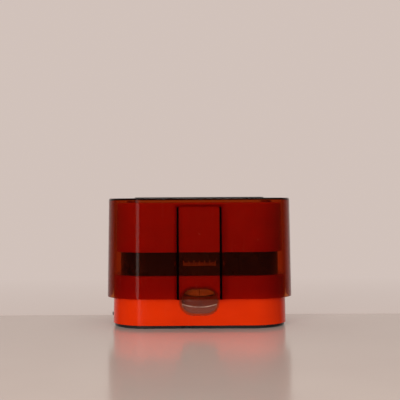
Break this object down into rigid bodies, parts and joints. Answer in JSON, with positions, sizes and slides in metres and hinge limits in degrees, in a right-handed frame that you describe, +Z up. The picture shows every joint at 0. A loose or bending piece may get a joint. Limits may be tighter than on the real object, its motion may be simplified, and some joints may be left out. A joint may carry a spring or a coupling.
{
  "type": "kitchen scale",
  "caption": "Spring-driven kitchen scale with a two-storey rounded body, a low reading lens and dial, and a see-through cover that lifts off and serves as the bowl.",
  "frame": {"origin": "on the table, at the middle of the footprint", "axes": "+Z up, front with the reading lens towards -Y, +X to the right as seen from the front"},
  "size_m": [0.2056, 0.1376, 0.1426],
  "materials": {
    "orange_plastic": "glossy moulded plastic",
    "amber_cover": "glossy smoked amber plastic, see-through",
    "black_plastic": "satin black moulded plastic",
    "dark_foot": "fine matt grain",
    "clear_lens": "polished clear plastic",
    "black_rubber": "matt rubber",
    "orange_seal": "moulded orange-brown seal",
    "brown_plastic": "satin brown moulded plastic",
    "dial_cream": "matt painted dial",
    "white_plastic": "natural acetal",
    "plated_sheet": "zinc plated sheet",
    "steel_screw": "zinc plated",
    "turned_steel": "turned and polished",
    "spring_steel": "drawn wire",
    "brass": "turned"
  },
  "bodies": {
    "base": {"base_pan": "black_plastic", "rubber_feet": "black_rubber", "housing_screws": "steel_screw", "lower_housing": "orange_plastic", "neck_shell": "black_plastic", "neck_screws": "steel_screw", "lens": "clear_lens", "lens_gasket": "orange_seal", "lens_retainer": "black_plastic", "dial_mask": "brown_plastic", "mask_screws": "steel_screw", "chassis": "plated_sheet", "chassis_screws": "steel_screw", "lever_pivot_pins": "turned_steel", "anchor_bar": "turned_steel", "shaft_bushes": "brass", "overload_stops": "black_rubber", "main_springs": "spring_steel", "rack_guide": "white_plastic", "index_clip": "turned_steel"},
    "platform": {"weighing_tray": "orange_plastic", "tray_spider": "plated_sheet", "tray_screws": "steel_screw", "platform_column": "plated_sheet", "column_rivets": "turned_steel", "spring_bar": "turned_steel"},
    "cover": {"cover_shell": "amber_cover", "bowl_foot": "dark_foot"},
    "lower_lever": {"lower_lever": "plated_sheet", "lower_lever_pin": "turned_steel", "rack_pin": "turned_steel"},
    "upper_lever": {"upper_lever": "plated_sheet", "upper_lever_pin": "turned_steel"},
    "rack": {"rack": "white_plastic"},
    "dial": {"dial_disc": "dial_cream", "dial_hub": "white_plastic", "dial_shaft": "turned_steel", "pinion": "brass"},
    "zero_wheel": {"zero_wheel": "black_plastic"},
    "index": {"index_arm": "white_plastic", "index_pointer": "brown_plastic"}
  },
  "joints": [
    {"name": "platform_press", "type": "slide", "parent": "base", "child": "platform", "axis": [0, 0, -1], "range_m": [0, 0.005], "stiffness_N_per_m": 9810, "springref_m": -0.0011, "deforming": ["main_springs"]},
    {"name": "cover_lift", "type": "slide", "parent": "platform", "child": "cover", "axis": [0, 0, 1], "range_m": [0, 0.12]},
    {"name": "lower_lever_turn", "type": "hinge", "parent": "base", "child": "lower_lever", "pos_m": [-0.066, 0.00225, 0.032], "axis": [0, 1, 0], "range_deg": [0, 10.3]},
    {"name": "upper_lever_turn", "type": "hinge", "parent": "base", "child": "upper_lever", "pos_m": [-0.066, 0.00225, 0.066], "axis": [0, 1, 0], "range_deg": [0, 10.3]},
    {"name": "rack_drop", "type": "slide", "parent": "base", "child": "rack", "axis": [0, 0, -1], "range_m": [0, 0.0126]},
    {"name": "dial_turn", "type": "hinge", "parent": "base", "child": "dial", "pos_m": [0, 0.00225, 0.0795], "axis": [0, 1, 0], "range_deg": [0, 240]},
    {"name": "index_turn", "type": "hinge", "parent": "base", "child": "index", "pos_m": [0, 0.00225, 0.0135], "axis": [0, 0, 1], "range_deg": [-1.84, 1.84]},
    {"name": "zero_wheel_turn", "type": "hinge", "parent": "base", "child": "zero_wheel", "pos_m": [-0.0865, 0.00225, 0.0107], "axis": [0, 0, 1], "range_deg": [-30, 30]}
  ],
  "couplings": [
    {"joint": "lower_lever_turn", "follows": "platform_press", "rad_per_m": 35.714},
    {"joint": "upper_lever_turn", "follows": "platform_press", "rad_per_m": 35.714},
    {"joint": "rack_drop", "follows": "platform_press", "ratio": 2.5},
    {"joint": "dial_turn", "follows": "platform_press", "rad_per_m": 833.33},
    {"joint": "zero_wheel_turn", "follows": "index_turn", "ratio": -16.3}
  ]
}
